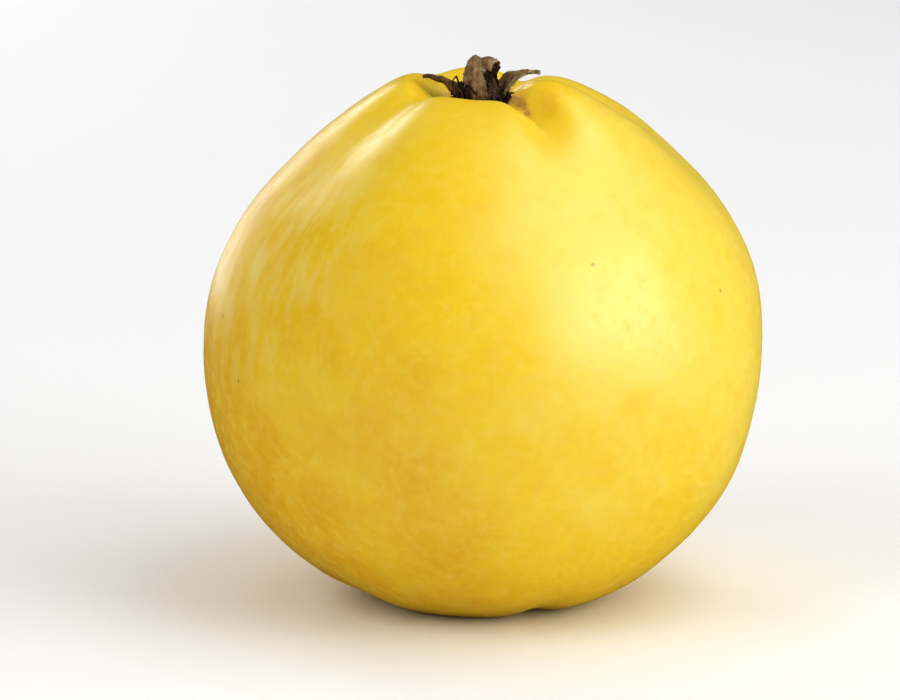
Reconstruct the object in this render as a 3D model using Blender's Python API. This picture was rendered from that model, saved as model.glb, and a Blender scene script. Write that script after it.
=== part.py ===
"""A whole ripe quince, standing on its stalk end with the remains of its flower on top.

Four nodes, in metres, +Z up, the origin on the floor under the middle of the fruit:
  fruit            skin and flesh in one piece, with five ribs, a calyx basin and a stalk cavity
  dried_sepals     the five sepals and the ring that they grow from
  withered_stamens the tuft of stamens inside the sepals
  stalk_stub       the short woody stalk in the cavity underneath
"""

import bisect
import math
import random
from collections import namedtuple

import bmesh
import bpy
from mathutils import Matrix, Vector, noise
from mathutils.bvhtree import BVHTree

MM = 0.001

# ---- The fruit's dimensions ------------------------------------------------------------------

WIDTH = 85.5 * MM  # greatest diameter, at the belly
HEIGHT = 80.5 * MM  # of the meridian below, before the ribs, the lean and the flat spots
FLAT_DEPTH = 0.5 * MM  # how much the fruit's weight has flattened the ribs under it
JOIN_GAP = 0.4 * MM  # clearance between two solids that grow from each other

AROUND = 80  # facets round the fruit
ALONG = 44  # facets along one meridian
END_CROWDING = 0.08  # how much closer the facets stand in the basin and in the cavity

# The meridian from the stalk cavity, out over the belly, to the calyx basin, as shares of
# half the width and of the height.
MERIDIAN = (
    (0.00, 0.092),
    (0.07, 0.082),
    (0.16, 0.032),
    (0.29, 0.000),
    (0.48, 0.026),
    (0.67, 0.093),
    (0.84, 0.190),
    (0.95, 0.305),
    (1.00, 0.455),
    (0.97, 0.610),
    (0.86, 0.747),
    (0.70, 0.847),
    (0.51, 0.932),
    (0.31, 0.985),
    (0.19, 0.962),
    (0.10, 0.920),
    (0.00, 0.910),
)

# Five furrows run down from the calyx basin between five ribs. Azimuths are in degrees from +X,
# seen from above; each furrow has its depth at the rim, its half width in degrees, the span in
# which it sets in on the shoulder, and how far it turns aside in the basin, in degrees.
Furrow = namedtuple("Furrow", "azimuth depth half_width sets_in swerve")
FURROWS = (
    Furrow(-64.0, 3.1 * MM, 10.0, (0.77, 0.89), -9.0),
    Furrow(4.0, 1.4 * MM, 17.0, (0.56, 0.86), 0.0),
    Furrow(68.0, 1.7 * MM, 15.0, (0.56, 0.86), 0.0),
    Furrow(130.0, 0.7 * MM, 16.0, (0.56, 0.86), 0.0),
    Furrow(-149.0, 1.6 * MM, 14.0, (0.56, 0.86), 0.0),
)
FURROW_WIDENING = 0.6  # how much wider a furrow is where it runs out on the shoulder
FOOT_FURROW_DEPTH = 0.9 * MM
BELLY_FURROW_DEPTH = 0.8 * MM
BELLY_FURROW_HALF_WIDTH = 22.0
OUT_OF_ROUND = 0.4 * MM
OUT_OF_ROUND_AZIMUTH = 35.0
RIM_LEAN = 0.09  # slope of the rim round the calyx
RIM_LEAN_AZIMUTH = -35.0  # the way that it slopes down
HIGH_RIB_RISE = 3.4 * MM  # how much higher one rib stands than the others at the rim
HIGH_RIB_AZIMUTH = -45.0
HIGH_RIB_HALF_WIDTH = 30.0
SHOULDER_SHIFT = 1.1 * MM  # the shoulders sit this far towards +X of the belly
CALYX_SHIFT = 1.3 * MM  # the calyx sits this far towards -X of the middle of its basin
LUMP_HEIGHT = 0.35 * MM
LUMP_LENGTH = 19.0 * MM

# The shares of the meridian (0 at the stalk, 1 at the calyx) between which something sets in.
FURROWS_FADE = (0.91, 0.985)
FURROWS_WIDEN = (0.60, 0.86)
FOOT_FURROWS_SET_IN = (0.015, 0.08)
FOOT_FURROWS_FADE = (0.12, 0.30)
CLEAR_OF_FLOOR = (0.16, 0.40)
OUT_OF_ROUND_FADES = (0.70, 0.95)
SHOULDERS = (0.40, 0.80)
RIM = (0.80, 0.93)
BASIN = (0.86, 0.95)
HIGH_RIB_RISES = (0.76, 0.92)
HIGH_RIB_FADES = (0.93, 0.985)

# ---- The dimensions of the calyx and of the stalk --------------------------------------------

RING_INNER = 2.4 * MM
RING_OUTER = 4.0 * MM
RING_HEIGHT = 1.3 * MM
RING_FACETS = 24

# A sepal has its azimuth, the angle at which it leaves the ring and the angle it has turned to
# at its tip (0 points outwards, 90 upwards, more than 90 inwards), how late along its length it
# turns (1 is evenly), its length, its width, the share of its length from which it narrows, and
# how far its tip sways to a greater azimuth.
Sepal = namedtuple("Sepal", "azimuth leaves_at ends_at lateness length width narrows sway")
SEPALS = (
    Sepal(22.0, 86.0, -20.0, 1.9, 10.2 * MM, 4.6 * MM, 0.35, -1.0 * MM),
    Sepal(78.0, 90.0, 262.0, 3.6, 12.8 * MM, 3.5 * MM, 0.65, -1.4 * MM),
    Sepal(178.0, 80.0, 4.0, 1.3, 9.2 * MM, 5.0 * MM, 0.25, 0.6 * MM),
    Sepal(-116.0, 92.0, 268.0, 3.6, 13.2 * MM, 3.5 * MM, 0.65, -2.2 * MM),
    Sepal(-46.0, 88.0, 128.0, 1.2, 6.4 * MM, 4.2 * MM, 0.40, 0.8 * MM),
)
SEPAL_ROOT = 3.2 * MM  # from the axis to the middle of a sepal's root
SEPAL_SINK = 0.35  # how high in the ring a sepal's root starts, as a share of the ring's height
SEPAL_THICKNESS = 0.7 * MM
SEPAL_TIP = 0.95 * MM  # width of a tip
SEPAL_CUP = 0.4  # how far a sepal's edges rise to its inner side, as a share of its half width
SEPAL_ROWS = 13
SEPAL_COLUMNS = 4

CORE_RADIUS = 2.0 * MM
CORE_HEIGHT = 1.8 * MM
CORE_FACETS = 15
STAMENS = 20
STAMEN_THICKNESS = 0.65 * MM
STAMEN_CORNERS = 4
STAMEN_SINK = 0.3  # how high in the core a stamen's root starts, as a share of its height
# Along a stamen: the share of its length, and its thickness there; the last but one is its anther.
STAMEN_FORM = ((0.0, 1.0), (0.3, 0.95), (0.6, 0.9), (0.82, 0.9), (0.92, 1.3), (1.0, 0.95))

STALK_RADIUS = 1.5 * MM
STALK_FACETS = 16
STALK_END = 1.2 * MM  # the broken end's height above the floor
STALK_END_SLANT = 0.25 * MM
STALK_LEAN = 0.7 * MM  # how far the broken end has moved towards -X
# Along the stalk: the share of its length, and its radius there.
STALK_FORM = ((0.0, 1.25), (0.18, 1.0), (0.5, 0.92), (0.8, 1.05), (0.95, 1.12), (1.0, 0.9))

WELD = 0.002 * MM  # vertices closer than this are made one where solids have been joined

# ---- The fruit's surface ---------------------------------------------------------------------


def smoothstep(low, high, value):
    share = min(1.0, max(0.0, (value - low) / (high - low)))
    return share * share * (3.0 - 2.0 * share)


def catmull_rom(before, start, end, after, share):
    """The point at share (0 to 1) from start to end, on a curve that bends with its neighbours."""
    return 0.5 * (
        2.0 * start
        + (end - before) * share
        + (2.0 * before - 5.0 * start + 4.0 * end - after) * share**2
        + (3.0 * start - before - 3.0 * end + after) * share**3
    )


def meridian_curve(points, steps=24):
    """A dense smooth line through the meridian's points, as (radius, height) vectors.

    The line is mirrored in the axis at both ends, so that it meets the axis square.
    """
    line = [Vector((x * WIDTH / 2, z * HEIGHT)) for x, z in points]
    line.insert(0, Vector((-line[1].x, line[1].y)))
    line.append(Vector((-line[-2].x, line[-2].y)))
    dense = [
        catmull_rom(line[i - 1], line[i], line[i + 1], line[i + 2], step / steps)
        for i in range(1, len(line) - 2)
        for step in range(steps)
    ]
    dense.append(line[-2])
    return dense


class Meridian:
    """The fruit's mean outline, read by the share of its length from stalk (0) to calyx (1)."""

    def __init__(self):
        self.line = meridian_curve(MERIDIAN)
        self.length = [0.0]
        for before, after in zip(self.line, self.line[1:]):
            self.length.append(self.length[-1] + (after - before).length)

    def at(self, share):
        """(point, outward normal) in the plane of radius and height."""
        want = min(1.0, max(0.0, share)) * self.length[-1]
        i = min(max(bisect.bisect_right(self.length, want), 1), len(self.line) - 1)
        before, after = self.line[i - 1], self.line[i]
        run = self.length[i] - self.length[i - 1]
        point = before.lerp(after, (want - self.length[i - 1]) / run)
        along = (after - before).normalized()
        return point, Vector((along.y, -along.x))


MEAN = Meridian()


def turn_between(a, b):
    """The smaller angle from azimuth b to azimuth a, in degrees."""
    return (a - b + 180.0) % 360.0 - 180.0


def bell(offset, half_width):
    return math.exp(-((offset / half_width) ** 2))


def sunk(share, azimuth):
    """How far the surface lies inside the mean outline, in metres."""
    fade = 1.0 - smoothstep(*FURROWS_FADE, share)
    at_foot = smoothstep(*FOOT_FURROWS_SET_IN, share) * (1.0 - smoothstep(*FOOT_FURROWS_FADE, share))
    clear_of_floor = smoothstep(*CLEAR_OF_FLOOR, share)
    at_belly = clear_of_floor * math.sin(math.pi * share)
    widening = 1.0 + FURROW_WIDENING * (1.0 - smoothstep(*FURROWS_WIDEN, share))
    depth = 0.0
    for furrow in FURROWS:
        middle = furrow.azimuth + furrow.swerve * smoothstep(*BASIN, share)
        offset = turn_between(azimuth, middle)
        at_calyx = smoothstep(*furrow.sets_in, share) * fade
        depth += furrow.depth * at_calyx * bell(offset, furrow.half_width * widening)
        depth += FOOT_FURROW_DEPTH * at_foot * bell(offset, furrow.half_width)
        depth += BELLY_FURROW_DEPTH * at_belly * bell(offset, BELLY_FURROW_HALF_WIDTH)
    oval = math.cos(2.0 * math.radians(azimuth - OUT_OF_ROUND_AZIMUTH))
    return depth - OUT_OF_ROUND * oval * clear_of_floor * (1.0 - smoothstep(*OUT_OF_ROUND_FADES, share))


def on_fruit(share, azimuth, above=0.0):
    """A point on the fruit's surface, or that far above it, before the floor flattens it."""
    mean, normal = MEAN.at(share)
    flat = mean + normal * (above - sunk(share, azimuth))
    turn = math.radians(azimuth)
    point = Vector((flat.x * math.cos(turn), flat.x * math.sin(turn), flat.y))
    lump = LUMP_HEIGHT * noise.noise(point / LUMP_LENGTH) * smoothstep(*CLEAR_OF_FLOOR, share)
    point += Vector((normal.x * math.cos(turn), normal.x * math.sin(turn), normal.y)) * lump
    downhill = math.radians(RIM_LEAN_AZIMUTH)
    run = point.x * math.cos(downhill) + point.y * math.sin(downhill)
    point.z -= RIM_LEAN * smoothstep(*RIM, share) * run
    high_rib = bell(turn_between(azimuth, HIGH_RIB_AZIMUTH), HIGH_RIB_HALF_WIDTH)
    high_rib *= smoothstep(*HIGH_RIB_RISES, share) * (1.0 - smoothstep(*HIGH_RIB_FADES, share))
    point.z += HIGH_RIB_RISE * high_rib
    point.x += SHOULDER_SHIFT * smoothstep(*SHOULDERS, share)
    point.x -= CALYX_SHIFT * smoothstep(*BASIN, share)
    return point


def floor_level():
    """The height at which the floor flattens the ribs."""
    foot = [ring / 200 for ring in range(int(200 * FOOT_FURROWS_FADE[1]))]
    azimuths = [360.0 * facet / AROUND for facet in range(AROUND)]
    return FLAT_DEPTH + min(on_fruit(share, azimuth).z for share in foot for azimuth in azimuths)


FLOOR = floor_level()

# ---- Meshes ----------------------------------------------------------------------------------


def to_mesh(shape, name):
    """The finished mesh of a solid, with its faces turned outwards."""
    bmesh.ops.recalc_face_normals(shape, faces=shape.faces)
    mesh = bpy.data.meshes.new(name)
    shape.to_mesh(mesh)
    shape.free()
    return mesh


def skin(shape, lower, upper):
    """A band of faces between two closed loops of as many vertices each."""
    for i in range(len(lower)):
        beside = (i + 1) % len(lower)
        shape.faces.new((lower[i], lower[beside], upper[beside], upper[i]))


def cap(shape, ring, point):
    """A fan of faces from a closed loop of vertices to one point."""
    middle = shape.verts.new(point)
    for i in range(len(ring)):
        shape.faces.new((ring[i], ring[(i + 1) % len(ring)], middle))


def closed_loops(loops, name):
    """A solid skinned over loops of points that lead round to the first one, as on a torus."""
    shape = bmesh.new()
    rings = [[shape.verts.new(point) for point in loop] for loop in loops]
    for lower, upper in zip(rings, rings[1:] + rings[:1]):
        skin(shape, lower, upper)
    return to_mesh(shape, name)


def capped_loops(loops, name):
    """A solid skinned over loops of points, with a cap on the first and on the last."""
    shape = bmesh.new()
    rings = [[shape.verts.new(point) for point in loop] for loop in loops]
    for lower, upper in zip(rings, rings[1:]):
        skin(shape, lower, upper)
    for ring in (rings[0], rings[-1]):
        cap(shape, ring, sum((vert.co for vert in ring), Vector()) / len(ring))
    return to_mesh(shape, name)


def crowded(share):
    """The same share of the meridian, moved towards the nearer end of it."""
    return share - END_CROWDING * math.sin(2.0 * math.pi * share)


def fruit_mesh():
    """Rings of vertices from the stalk cavity to the calyx basin, cut off level at the floor."""
    shape = bmesh.new()
    azimuths = [360.0 * facet / AROUND for facet in range(AROUND)]
    rings = []
    for number in range(1, ALONG):
        share = crowded(number / ALONG)
        rings.append([shape.verts.new(on_fruit(share, azimuth)) for azimuth in azimuths])
    for lower, upper in zip(rings, rings[1:]):
        skin(shape, lower, upper)
    cap(shape, rings[0], on_fruit(0.0, 0.0))
    cap(shape, rings[-1], on_fruit(1.0, 0.0))
    cut = bmesh.ops.bisect_plane(
        shape,
        geom=list(shape.verts) + list(shape.edges) + list(shape.faces),
        plane_co=(0.0, 0.0, FLOOR),
        plane_no=(0.0, 0.0, -1.0),
        clear_outer=True,
    )
    edges = [item for item in cut["geom_cut"] if isinstance(item, bmesh.types.BMEdge)]
    bmesh.ops.holes_fill(shape, edges=edges)
    mesh = to_mesh(shape, "fruit")
    mesh.shade_smooth()
    return mesh


def share_at(radius, at_calyx):
    """The share of the meridian that is this far from the axis, inside the basin or the cavity."""
    inner, outer = (1.0, 0.90) if at_calyx else (0.0, 0.10)
    for _ in range(30):
        middle = 0.5 * (inner + outer)
        if MEAN.at(middle)[0].x < radius:
            inner = middle
        else:
            outer = middle
    return inner


def over_hollow(radius, azimuth, above, at_calyx=True):
    """A point this far from the axis and this far off the floor of the basin, or of the cavity."""
    return on_fruit(share_at(radius, at_calyx), azimuth, above)


def ring_mesh():
    """The ring that the sepals grow from, lying just clear of the basin floor."""
    section = (
        (RING_INNER, 0.0),
        (0.5 * (RING_INNER + RING_OUTER), 0.0),
        (RING_OUTER, 0.0),
        (RING_OUTER, 0.35),
        (RING_OUTER - 0.5 * MM, 0.9),
        (RING_INNER + 0.4 * MM, 1.0),
        (RING_INNER, 0.7),
    )
    azimuths = [360.0 * facet / RING_FACETS for facet in range(RING_FACETS)]
    loops = []
    for radius, rise in section:
        above = JOIN_GAP + rise * RING_HEIGHT
        loops.append([over_hollow(radius, azimuth, above) for azimuth in azimuths])
    return closed_loops(loops, "ring")


def sepal_width(sepal, share):
    """A sepal's width at a share of its length, with a narrower foot and a narrow tip."""
    foot = 0.75 + 0.25 * smoothstep(0.0, 0.3, share)
    return max(sepal.width * foot * (1.0 - smoothstep(sepal.narrows, 1.15, share)), SEPAL_TIP)


def sepal_mesh(sepal):
    """One dried sepal: a cupped blade that tapers to its tip and curls along its length."""
    turn = math.radians(sepal.azimuth)
    outwards = Vector((math.cos(turn), math.sin(turn), 0.0))
    side = Vector((-math.sin(turn), math.cos(turn), 0.0))
    spine = over_hollow(SEPAL_ROOT, sepal.azimuth, JOIN_GAP + SEPAL_SINK * RING_HEIGHT)
    loops = []
    for row in range(SEPAL_ROWS + 1):
        share = row / SEPAL_ROWS
        turned = (sepal.ends_at - sepal.leaves_at) * share**sepal.lateness
        angle = math.radians(sepal.leaves_at + turned)
        along = outwards * math.cos(angle) + Vector((0.0, 0.0, math.sin(angle)))
        back = side.cross(along)
        if row:
            spine = spine + along * (sepal.length / SEPAL_ROWS)
        middle = spine + side * (sepal.sway * share**2)
        half = 0.5 * sepal_width(sepal, share)
        inner_face = []
        outer_face = []
        for column in range(SEPAL_COLUMNS + 1):
            across = 2.0 * column / SEPAL_COLUMNS - 1.0
            point = middle + side * (half * across) - back * (SEPAL_CUP * half * across**2)
            inner_face.append(point - back * (0.5 * SEPAL_THICKNESS))
            outer_face.append(point + back * (0.5 * SEPAL_THICKNESS))
        loops.append(inner_face + outer_face[::-1])
    return capped_loops(loops, "sepal")


def core_mesh():
    """The withered floor of the flower, a low dome inside the ring."""
    section = ((1.0, 0.0), (1.0, 0.45), (0.75, 0.85), (0.3, 1.0))
    azimuths = [360.0 * facet / CORE_FACETS for facet in range(CORE_FACETS)]
    loops = []
    for spread, rise in section:
        above = JOIN_GAP + rise * CORE_HEIGHT
        loops.append([over_hollow(CORE_RADIUS * spread, azimuth, above) for azimuth in azimuths])
    return capped_loops(loops, "core")


def stamen_spine(draw):
    """The bent middle line of one withered stamen, as (point, thickness)."""
    azimuth = draw.uniform(0.0, 360.0)
    start = draw.uniform(0.4, 1.5) * MM
    spread = draw.uniform(0.0, 3.4) * MM
    height = draw.uniform(3.4, 6.2) * MM
    sideways = draw.uniform(-30.0, 30.0)
    root = over_hollow(start, azimuth, JOIN_GAP + STAMEN_SINK * CORE_HEIGHT)
    off_axis = root.x - start * math.cos(math.radians(azimuth))
    spine = []
    for share, thickness in STAMEN_FORM:
        turn = math.radians(azimuth + sideways * share**2)
        away = start + spread * share
        rise = height * math.sin(0.5 * math.pi * share)
        point = Vector((off_axis + away * math.cos(turn), away * math.sin(turn), root.z + rise))
        spine.append((point, thickness * STAMEN_THICKNESS))
    return spine


def stamen_mesh(spine):
    loops = []
    for point, thickness in spine:
        loop = []
        for corner in range(STAMEN_CORNERS):
            turn = 2.0 * math.pi * (corner + 0.2) / STAMEN_CORNERS
            loop.append(point + 0.5 * thickness * Vector((math.cos(turn), math.sin(turn), 0.0)))
        loops.append(loop)
    return capped_loops(loops, "stamen")


def stalk_mesh():
    """The short woody stalk, from just under the cavity's roof to its broken end."""
    root = over_hollow(0.0, 0.0, 0.0, at_calyx=False)
    loops = []
    for share, spread in STALK_FORM:
        loop = []
        for facet in range(STALK_FACETS):
            turn = 2.0 * math.pi * facet / STALK_FACETS
            uneven = 1.0 + 0.07 * math.cos(3.0 * turn + 4.0 * share)
            radius = STALK_RADIUS * spread * uneven
            top = over_hollow(radius, math.degrees(turn), JOIN_GAP, at_calyx=False).z
            end = FLOOR + STALK_END + STALK_END_SLANT * math.cos(turn)
            x = root.x + radius * math.cos(turn) - STALK_LEAN * share
            y = root.y + radius * math.sin(turn)
            loop.append(Vector((x, y, top + (end - top) * share)))
        loops.append(loop)
    return capped_loops(loops, "stalk_stub")


def fuse(name, parts):
    """One mesh of the first part joined to all the others."""
    first, *others = [bpy.data.objects.new(mesh.name, mesh) for mesh in parts]
    bpy.context.scene.collection.objects.link(first)
    repeats = bpy.data.collections.new(name)
    bpy.context.scene.collection.children.link(repeats)
    for other in others:
        repeats.objects.link(other)
    union = first.modifiers.new("union", "BOOLEAN")
    union.operation = "UNION"
    union.operand_type = "COLLECTION"
    union.collection = repeats
    union.solver = "EXACT"
    joined = bpy.data.meshes.new_from_object(
        first.evaluated_get(bpy.context.evaluated_depsgraph_get())
    )
    joined.name = name
    for obj in [first] + others:
        bpy.data.objects.remove(obj)
    bpy.data.collections.remove(repeats)
    shape = bmesh.new()
    shape.from_mesh(joined)
    bmesh.ops.remove_doubles(shape, verts=shape.verts, dist=WELD)
    shape.to_mesh(joined)
    shape.free()
    return joined


def sepals_mesh():
    return fuse("dried_sepals", [ring_mesh()] + [sepal_mesh(sepal) for sepal in SEPALS])


def stamens_mesh(sepals):
    """The tuft of stamens. A draw that comes too near to a sepal is made again."""
    draw = random.Random(11)
    corners = [vert.co for vert in sepals.vertices]
    faces = [tuple(face.vertices) for face in sepals.polygons]
    nearby = BVHTree.FromPolygons(corners, faces)
    parts = [core_mesh()]
    while len(parts) <= STAMENS:
        spine = stamen_spine(draw)
        points = [point for point, _ in spine[1:]]
        points += [0.5 * (a + b) for a, b in zip(points, points[1:])]
        nearest = min(nearby.find_nearest(point)[3] for point in points)
        if nearest > JOIN_GAP + STAMEN_THICKNESS:
            parts.append(stamen_mesh(spine))
    return fuse("withered_stamens", parts)


# ---- The part --------------------------------------------------------------------------------


def onto_floor(mesh):
    """The move that puts the mesh's middle over the origin and its underside on the floor."""
    corners = [vert.co for vert in mesh.vertices]
    low = Vector([min(point[axis] for point in corners) for axis in range(3)])
    high = Vector([max(point[axis] for point in corners) for axis in range(3)])
    return Matrix.Translation((-0.5 * (low.x + high.x), -0.5 * (low.y + high.y), -low.z))


def add_node(mesh, colour, roughness):
    material = bpy.data.materials.new(mesh.name)
    material.use_nodes = True
    shader = material.node_tree.nodes["Principled BSDF"]
    shader.inputs["Base Color"].default_value = (*colour, 1.0)
    shader.inputs["Roughness"].default_value = roughness
    shader.inputs["Metallic"].default_value = 0.0
    mesh.materials.append(material)
    bpy.context.scene.collection.objects.link(bpy.data.objects.new(mesh.name, mesh))


def main():
    for obj in list(bpy.data.objects):
        bpy.data.objects.remove(obj)
    fruit = fruit_mesh()
    sepals = sepals_mesh()
    stamens = stamens_mesh(sepals)
    stalk = stalk_mesh()
    move = onto_floor(fruit)
    for mesh in (fruit, sepals, stamens, stalk):
        mesh.transform(move)
    add_node(fruit, (0.93, 0.62, 0.04), 0.45)
    add_node(sepals, (0.16, 0.08, 0.03), 0.85)
    add_node(stamens, (0.05, 0.025, 0.012), 0.9)
    add_node(stalk, (0.13, 0.075, 0.035), 0.85)


main()
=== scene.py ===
import bisect
import math
import random
from collections import namedtuple

import bmesh
import bpy
import numpy as np
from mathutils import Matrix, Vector, noise
from mathutils.bvhtree import BVHTree


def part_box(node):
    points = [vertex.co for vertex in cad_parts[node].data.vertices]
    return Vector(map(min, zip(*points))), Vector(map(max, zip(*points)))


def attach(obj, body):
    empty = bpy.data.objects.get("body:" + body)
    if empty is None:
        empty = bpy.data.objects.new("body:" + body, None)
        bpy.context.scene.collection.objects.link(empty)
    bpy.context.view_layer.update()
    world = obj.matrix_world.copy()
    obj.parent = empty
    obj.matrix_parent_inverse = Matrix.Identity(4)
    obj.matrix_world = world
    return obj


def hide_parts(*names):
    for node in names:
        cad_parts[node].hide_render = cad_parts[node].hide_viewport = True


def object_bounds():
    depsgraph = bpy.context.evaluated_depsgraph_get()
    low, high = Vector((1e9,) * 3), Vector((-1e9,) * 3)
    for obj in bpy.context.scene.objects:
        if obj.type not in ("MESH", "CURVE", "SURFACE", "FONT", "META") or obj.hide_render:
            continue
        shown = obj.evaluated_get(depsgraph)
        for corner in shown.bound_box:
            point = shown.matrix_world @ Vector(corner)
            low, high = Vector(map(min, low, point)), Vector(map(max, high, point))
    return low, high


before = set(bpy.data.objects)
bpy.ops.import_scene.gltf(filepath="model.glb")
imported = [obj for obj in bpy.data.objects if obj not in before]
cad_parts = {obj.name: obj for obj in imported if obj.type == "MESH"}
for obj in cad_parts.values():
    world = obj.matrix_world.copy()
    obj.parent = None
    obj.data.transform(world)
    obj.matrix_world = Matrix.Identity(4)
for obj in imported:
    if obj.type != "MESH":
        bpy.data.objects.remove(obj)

MM = 0.001
CAD_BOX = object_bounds()

# Vector noise takes its offsets from this seed, so that every run crumples the threads alike.
NOISE_SEED = 5
noise.seed_set(NOISE_SEED)

# ---- The fruit's form, with the same values as its solid --------------------------------------

WIDTH = 85.5 * MM
HEIGHT = 80.5 * MM
FLAT_DEPTH = 0.5 * MM
JOIN_GAP = 0.4 * MM
MERIDIAN = (
    (0.00, 0.092),
    (0.07, 0.082),
    (0.16, 0.032),
    (0.29, 0.000),
    (0.48, 0.026),
    (0.67, 0.093),
    (0.84, 0.190),
    (0.95, 0.305),
    (1.00, 0.455),
    (0.97, 0.610),
    (0.86, 0.747),
    (0.70, 0.847),
    (0.51, 0.932),
    (0.31, 0.985),
    (0.19, 0.962),
    (0.10, 0.920),
    (0.00, 0.910),
)
Furrow = namedtuple("Furrow", "azimuth depth half_width sets_in swerve")
FURROWS = (
    Furrow(-64.0, 3.1 * MM, 10.0, (0.77, 0.89), -9.0),
    Furrow(4.0, 1.4 * MM, 17.0, (0.56, 0.86), 0.0),
    Furrow(68.0, 1.7 * MM, 15.0, (0.56, 0.86), 0.0),
    Furrow(130.0, 0.7 * MM, 16.0, (0.56, 0.86), 0.0),
    Furrow(-149.0, 1.6 * MM, 14.0, (0.56, 0.86), 0.0),
)
FURROW_WIDENING = 0.6
FOOT_FURROW_DEPTH = 0.9 * MM
BELLY_FURROW_DEPTH = 0.8 * MM
BELLY_FURROW_HALF_WIDTH = 22.0
OUT_OF_ROUND = 0.4 * MM
OUT_OF_ROUND_AZIMUTH = 35.0
RIM_LEAN = 0.09
RIM_LEAN_AZIMUTH = -35.0
HIGH_RIB_RISE = 3.4 * MM
HIGH_RIB_AZIMUTH = -45.0
HIGH_RIB_HALF_WIDTH = 30.0
SHOULDER_SHIFT = 1.1 * MM
CALYX_SHIFT = 1.3 * MM
LUMP_HEIGHT = 0.35 * MM
LUMP_LENGTH = 19.0 * MM

CREASE_AZIMUTH = -61.5
CREASE_DEPTH = 0.25 * MM
CREASE_HALF_WIDTH = 0.6 * MM
CREASE_SETS_IN = (5.0 * MM, 8.0 * MM)
CREASE_FADES = (15.5 * MM, 21.0 * MM)

FURROWS_FADE = (0.91, 0.985)
FURROWS_WIDEN = (0.60, 0.86)
FOOT_FURROWS_SET_IN = (0.015, 0.08)
FOOT_FURROWS_FADE = (0.12, 0.30)
CLEAR_OF_FLOOR = (0.16, 0.40)
OUT_OF_ROUND_FADES = (0.70, 0.95)
SHOULDERS = (0.40, 0.80)
RIM = (0.80, 0.93)
BASIN = (0.86, 0.95)
HIGH_RIB_RISES = (0.76, 0.92)
HIGH_RIB_FADES = (0.93, 0.985)

AROUND, ALONG = ((360, 250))
END_CROWDING = 0.08

RING_INNER = 2.4 * MM
RING_OUTER = 4.0 * MM
RING_HEIGHT = 1.3 * MM
Sepal = namedtuple("Sepal", "azimuth leaves_at ends_at lateness length width narrows sway tone")
# The two darkest tones, 0.15 and 0.12, are partly painted shade: they darken the sepals beside the knob whose
# outsides lie in shadow.
SEPALS = (
    Sepal(22.0, 86.0, -20.0, 1.9, 10.2 * MM, 4.6 * MM, 0.35, -1.0 * MM, 0.95),
    Sepal(78.0, 90.0, 262.0, 3.6, 12.8 * MM, 3.5 * MM, 0.65, -1.4 * MM, 0.62),
    Sepal(178.0, 80.0, 4.0, 1.3, 9.2 * MM, 5.0 * MM, 0.25, 0.6 * MM, 0.15),
    Sepal(-116.0, 92.0, 268.0, 3.6, 13.2 * MM, 3.5 * MM, 0.65, -2.2 * MM, 0.68),
    Sepal(-46.0, 88.0, 128.0, 1.2, 6.4 * MM, 4.2 * MM, 0.40, 0.8 * MM, 0.12),
)
SEPAL_ROOT = 3.2 * MM
SEPAL_SINK = 0.35
SEPAL_THICKNESS = 0.7 * MM
SEPAL_TIP = 0.95 * MM
SEPAL_CUP = 0.4
SEPAL_ROWS = 13

CORE_RADIUS = 2.0 * MM
CORE_HEIGHT = 1.8 * MM
CORE_FORM = ((1.0, -0.5), (1.0, 0.0), (1.0, 0.45), (0.9, 0.7), (0.7, 0.9), (0.4, 1.0), (0.15, 1.02))
STAMENS = 20
STAMEN_THICKNESS = 0.65 * MM
STAMEN_SINK = 0.3
STAMEN_FORM = (0.0, 0.3, 0.6, 0.82, 0.92, 1.0)
SHREDS = 90

STALK_RADIUS = 1.5 * MM
STALK_END = 1.2 * MM
STALK_END_SLANT = 0.25 * MM
STALK_LEAN = 0.7 * MM
STALK_FORM = ((0.0, 1.25), (0.18, 1.0), (0.5, 0.92), (0.8, 1.05), (0.95, 1.12), (1.0, 0.9))


def smoothstep(low, high, value):
    share = min(1.0, max(0.0, (value - low) / (high - low)))
    return share * share * (3.0 - 2.0 * share)


def catmull_rom(before, start, end, after, share):
    return 0.5 * (
        2.0 * start
        + (end - before) * share
        + (2.0 * before - 5.0 * start + 4.0 * end - after) * share**2
        + (3.0 * start - before - 3.0 * end + after) * share**3
    )


def meridian_curve(points, steps=24):
    line = [Vector((x * WIDTH / 2, z * HEIGHT)) for x, z in points]
    line.insert(0, Vector((-line[1].x, line[1].y)))
    line.append(Vector((-line[-2].x, line[-2].y)))
    dense = [
        catmull_rom(line[i - 1], line[i], line[i + 1], line[i + 2], step / steps)
        for i in range(1, len(line) - 2)
        for step in range(steps)
    ]
    dense.append(line[-2])
    return dense


class Meridian:
    """The fruit's mean outline, read by the share of its length from stalk (0) to calyx (1)."""

    def __init__(self):
        self.line = meridian_curve(MERIDIAN)
        self.length = [0.0]
        for before, after in zip(self.line, self.line[1:]):
            self.length.append(self.length[-1] + (after - before).length)

    def at(self, share):
        want = min(1.0, max(0.0, share)) * self.length[-1]
        i = min(max(bisect.bisect_right(self.length, want), 1), len(self.line) - 1)
        before, after = self.line[i - 1], self.line[i]
        run = self.length[i] - self.length[i - 1]
        point = before.lerp(after, (want - self.length[i - 1]) / run)
        along = (after - before).normalized()
        return point, Vector((along.y, -along.x))


MEAN = Meridian()


def turn_between(a, b):
    return (a - b + 180.0) % 360.0 - 180.0


def bell(offset, half_width):
    return math.exp(-((offset / half_width) ** 2))


def from_furrow(furrow, share, azimuth):
    """How many degrees an azimuth lies past the middle of a furrow."""
    return turn_between(azimuth, furrow.azimuth + furrow.swerve * smoothstep(*BASIN, share))


def from_crease(point):
    """How far, in metres, a point of the crown lies past the crease in the deep furrow."""
    azimuth = math.degrees(math.atan2(point.y, point.x))
    return math.radians(turn_between(azimuth, CREASE_AZIMUTH)) * point.xy.length


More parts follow.
